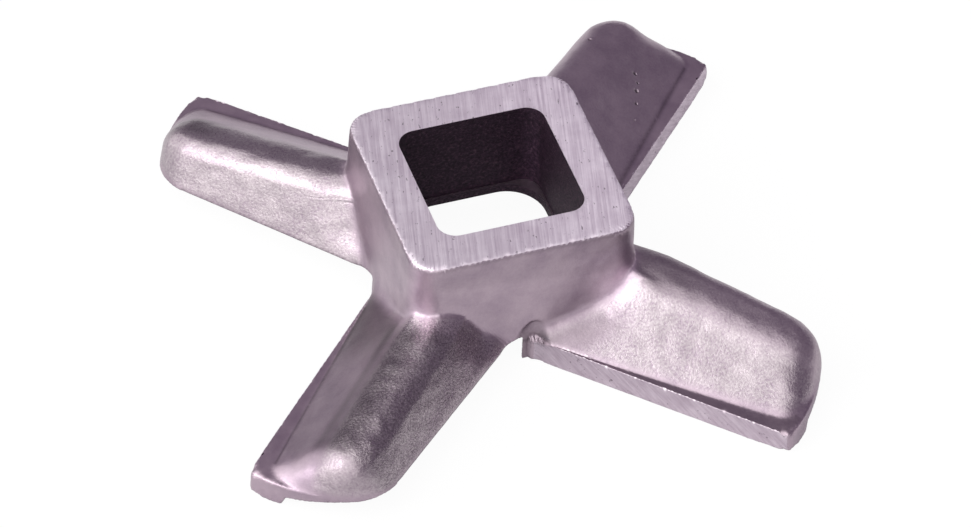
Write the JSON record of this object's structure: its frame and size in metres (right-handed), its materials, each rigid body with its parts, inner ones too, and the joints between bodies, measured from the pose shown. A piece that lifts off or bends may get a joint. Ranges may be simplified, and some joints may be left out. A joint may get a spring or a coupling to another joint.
{
  "type": "meat grinder knife",
  "caption": "Cast steel cutting knife for a meat grinder, with straight ground edges on its arms and a square hub hole that slides onto the grinder's feed screw.",
  "frame": {"origin": "axis of the square drive hole, in the plane of the ground cutting lands that run on the grinder plate", "axes": "+Z along the drive hole, from the cutting plane to the ground top of the hub; X and Y square to the flanks of the hub, with the arms at 45 degrees to both"},
  "size_m": [0.0782, 0.0782, 0.0188],
  "materials": {
    "cast_steel": "bare tool steel, sand-cast skin with ground working faces"
  },
  "bodies": {
    "root": {"knife": "cast_steel"}
  },
  "joints": []
}
